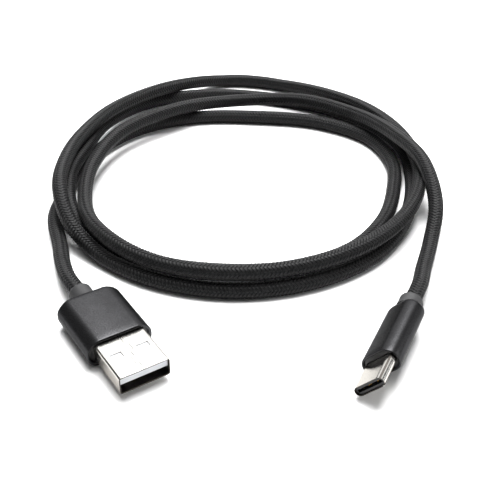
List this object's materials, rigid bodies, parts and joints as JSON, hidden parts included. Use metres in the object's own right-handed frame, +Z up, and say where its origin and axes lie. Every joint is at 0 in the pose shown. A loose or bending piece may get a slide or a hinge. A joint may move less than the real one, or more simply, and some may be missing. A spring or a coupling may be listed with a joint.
{
  "type": "braided charging cable",
  "caption": "Braided USB-A to USB-C charging cable lying in loose turns, with slim metal-cased plugs.",
  "frame": {"origin": "centre of the bottom face of the box around the two plugs, on the surface that the cable lies on", "axes": "+Z up from the surface; +X from the USB-A plug towards the USB-C plug; +Y from the plugs towards the far side of the coil; both plugs point mostly towards -Y"},
  "size_m": [0.106, 0.1569, 0.0123],
  "materials": {
    "cord_braid": "tight black nylon braid with a soft grey sheen",
    "usb_a_collar": "matte dark grey rubber",
    "usb_c_collar": "matte grey rubber",
    "casing_black": "black anodised, finely blasted satin",
    "insert_black": "matte black plastic",
    "plug_steel": "bright stamped steel with a soft reflection",
    "tongue_white": "pale moulded plastic",
    "contact_gold": "gold-plated spring contacts",
    "mould_plastic": "pale low-pressure moulding",
    "crimp_metal": "dull crimped metal",
    "jacket_grey": "smooth dark jacket",
    "wire_red": "red insulation",
    "wire_white": "white insulation",
    "wire_green": "green insulation",
    "wire_black": "black insulation",
    "housing_black": "black contact housing",
    "spring_steel": "bare spring steel",
    "board_green": "green solder mask",
    "resistor_dark": "dark ceramic chip"
  },
  "bodies": {
    "plugs_and_cord": {"cord": "cord_braid", "usb_a_collar": "usb_a_collar", "usb_a_casing": "casing_black", "usb_a_front_insert": "insert_black", "usb_a_shell": "plug_steel", "usb_a_tongue": "tongue_white", "usb_a_contact_vbus": "contact_gold", "usb_a_contact_d_minus": "contact_gold", "usb_a_contact_d_plus": "contact_gold", "usb_a_contact_gnd": "contact_gold", "usb_a_inner_mould": "mould_plastic", "usb_a_crimp": "crimp_metal", "usb_a_jacket_end": "jacket_grey", "usb_a_wire_red": "wire_red", "usb_a_wire_white": "wire_white", "usb_a_wire_green": "wire_green", "usb_a_wire_black": "wire_black", "usb_c_collar": "usb_c_collar", "usb_c_casing": "casing_black", "usb_c_front_insert": "insert_black", "usb_c_shell": "plug_steel", "usb_c_housing": "housing_black", "usb_c_ground_spring_upper": "spring_steel", "usb_c_ground_spring_lower": "spring_steel", "usb_c_board": "board_green", "usb_c_resistor": "resistor_dark", "usb_c_inner_mould": "mould_plastic", "usb_c_crimp": "crimp_metal", "usb_c_jacket_end": "jacket_grey", "usb_c_wire_red": "wire_red", "usb_c_wire_white": "wire_white", "usb_c_wire_green": "wire_green", "usb_c_wire_black": "wire_black"},
    "latch_left": {"usb_c_latch_left": "spring_steel"},
    "latch_right": {"usb_c_latch_right": "spring_steel"},
    "contacts_upper": {"usb_c_contacts_upper": "contact_gold"},
    "contacts_lower": {"usb_c_contacts_lower": "contact_gold"}
  },
  "joints": [
    {"name": "latch_left_flex", "type": "hinge", "parent": "plugs_and_cord", "child": "latch_left", "pos_m": [0.03276, -0.0089, 0.00684], "axis": [-0.6655, 0.3033, 0.682], "range_deg": [0, 1.5], "stiffness_Nm_per_rad": 0.2},
    {"name": "latch_right_flex", "type": "hinge", "parent": "plugs_and_cord", "child": "latch_right", "pos_m": [0.02856, -0.00698, 0.00188], "axis": [-0.6655, 0.3033, 0.682], "range_deg": [-1.5, 0], "stiffness_Nm_per_rad": 0.2},
    {"name": "contacts_upper_flex", "type": "hinge", "parent": "plugs_and_cord", "child": "contacts_upper", "pos_m": [0.03365, -0.00051, 0.0047], "axis": [-0.6206, 0.2828, -0.7314], "range_deg": [0, 0.5], "stiffness_Nm_per_rad": 0.2},
    {"name": "contacts_lower_flex", "type": "hinge", "parent": "plugs_and_cord", "child": "contacts_lower", "pos_m": [0.03431, -0.00081, 0.00402], "axis": [-0.6206, 0.2828, -0.7314], "range_deg": [-0.5, 0], "stiffness_Nm_per_rad": 0.2}
  ]
}
